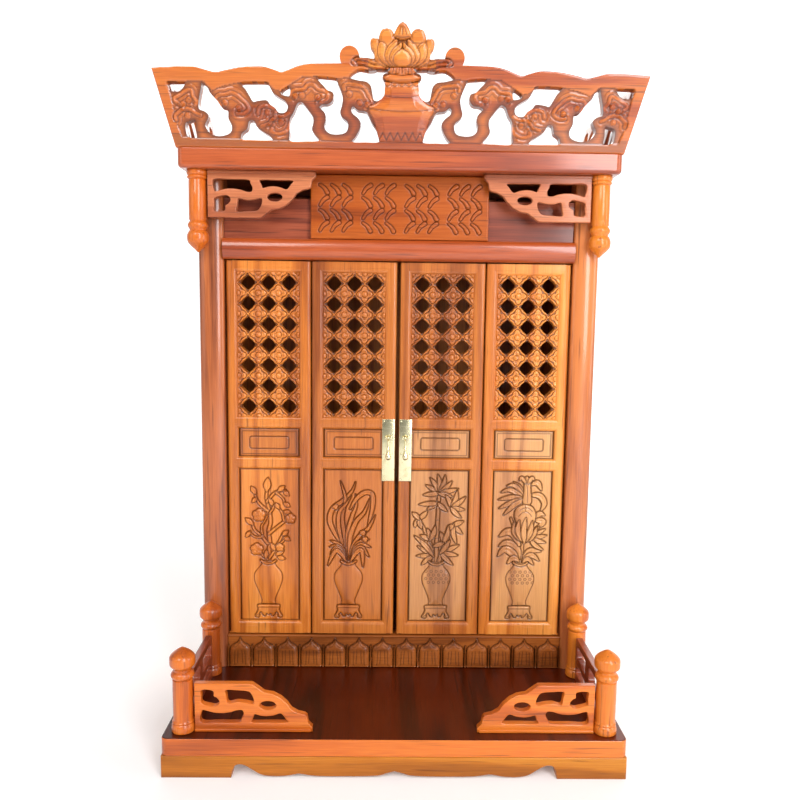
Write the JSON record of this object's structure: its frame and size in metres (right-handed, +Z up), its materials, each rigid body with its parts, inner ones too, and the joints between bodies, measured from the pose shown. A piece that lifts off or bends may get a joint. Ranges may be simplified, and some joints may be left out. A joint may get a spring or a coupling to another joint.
{
  "type": "household altar cabinet",
  "caption": "Carved wooden cabinet shrine with folding lattice doors over a niche, an open offering deck in front and a pierced crest on its roof.",
  "frame": {"origin": "centre of the footprint, on the surface that the feet stand on", "axes": "+Z up, the doors face -Y, +X to the viewer's right"},
  "size_m": [0.536, 0.345, 0.7836],
  "materials": {
    "lacquered_wood": "amber glossy lacquer over straight grained wood",
    "deck_wood": "dark red brown glossy lacquered wood",
    "shaded_wood": "brown lacquered wood",
    "polished_brass": "pale polished brass"
  },
  "bodies": {
    "cabinet": {"deck_board": "deck_wood", "front_apron": "lacquered_wood", "back_apron": "lacquered_wood", "left_apron": "lacquered_wood", "right_apron": "lacquered_wood", "left_post": "lacquered_wood", "left_wall": "lacquered_wood", "right_post": "lacquered_wood", "right_wall": "lacquered_wood", "back_panel": "lacquered_wood", "floor_board": "shaded_wood", "lotus_rail": "shaded_wood", "lintel_rail": "lacquered_wood", "frieze_panel": "shaded_wood", "plaque": "lacquered_wood", "roof_slab": "lacquered_wood", "left_front_baluster": "lacquered_wood", "left_back_baluster": "lacquered_wood", "right_front_baluster": "lacquered_wood", "right_back_baluster": "lacquered_wood", "left_hanging_post": "lacquered_wood", "right_hanging_post": "lacquered_wood", "left_roof_bracket": "lacquered_wood", "left_deck_bracket": "lacquered_wood", "right_roof_bracket": "lacquered_wood", "right_deck_bracket": "lacquered_wood", "left_deck_panel": "lacquered_wood", "right_deck_panel": "lacquered_wood", "crest_front": "lacquered_wood", "left_crest": "lacquered_wood", "right_crest": "lacquered_wood"},
    "left_outer_door": {"left_outer_leaf": "lacquered_wood", "left_bottom_pivot_pin": "polished_brass", "left_top_pivot_pin": "polished_brass", "left_lower_hinge_outer": "polished_brass", "left_upper_hinge_outer": "polished_brass"},
    "left_inner_door": {"left_inner_leaf": "lacquered_wood", "left_lower_hinge_inner": "polished_brass", "left_upper_hinge_inner": "polished_brass", "left_brass_plate": "polished_brass", "left_pull_staple": "polished_brass"},
    "left_pull": {"left_drop_pull": "polished_brass"},
    "right_outer_door": {"right_outer_leaf": "lacquered_wood", "right_bottom_pivot_pin": "polished_brass", "right_top_pivot_pin": "polished_brass", "right_lower_hinge_outer": "polished_brass", "right_upper_hinge_outer": "polished_brass"},
    "right_inner_door": {"right_inner_leaf": "lacquered_wood", "right_lower_hinge_inner": "polished_brass", "right_upper_hinge_inner": "polished_brass", "right_brass_plate": "polished_brass", "right_pull_staple": "polished_brass"},
    "right_pull": {"right_drop_pull": "polished_brass"}
  },
  "joints": [
    {"name": "left_door_swing", "type": "hinge", "parent": "cabinet", "child": "left_outer_door", "pos_m": [-0.1948, 0.0005, 0.31], "axis": [0, 0, -1], "range_deg": [0, 90]},
    {"name": "left_door_fold", "type": "hinge", "parent": "left_outer_door", "child": "left_inner_door", "pos_m": [-0.10235, 0.0107, 0.31], "axis": [0, 0, 1], "range_deg": [0, 180]},
    {"name": "left_pull_swing", "type": "hinge", "parent": "left_inner_door", "child": "left_pull", "pos_m": [-0.0102, -0.0139, 0.33], "axis": [-1, 0, 0], "range_deg": [0, 150]},
    {"name": "right_door_swing", "type": "hinge", "parent": "cabinet", "child": "right_outer_door", "pos_m": [0.1948, 0.0005, 0.31], "axis": [0, 0, 1], "range_deg": [0, 90]},
    {"name": "right_door_fold", "type": "hinge", "parent": "right_outer_door", "child": "right_inner_door", "pos_m": [0.10235, 0.0107, 0.31], "axis": [0, 0, -1], "range_deg": [0, 180]},
    {"name": "right_pull_swing", "type": "hinge", "parent": "right_inner_door", "child": "right_pull", "pos_m": [0.0102, -0.0139, 0.33], "axis": [-1, 0, 0], "range_deg": [0, 150]}
  ],
  "couplings": [
    {"joint": "left_door_fold", "follows": "left_door_swing", "ratio": 2},
    {"joint": "right_door_fold", "follows": "right_door_swing", "ratio": 2}
  ]
}
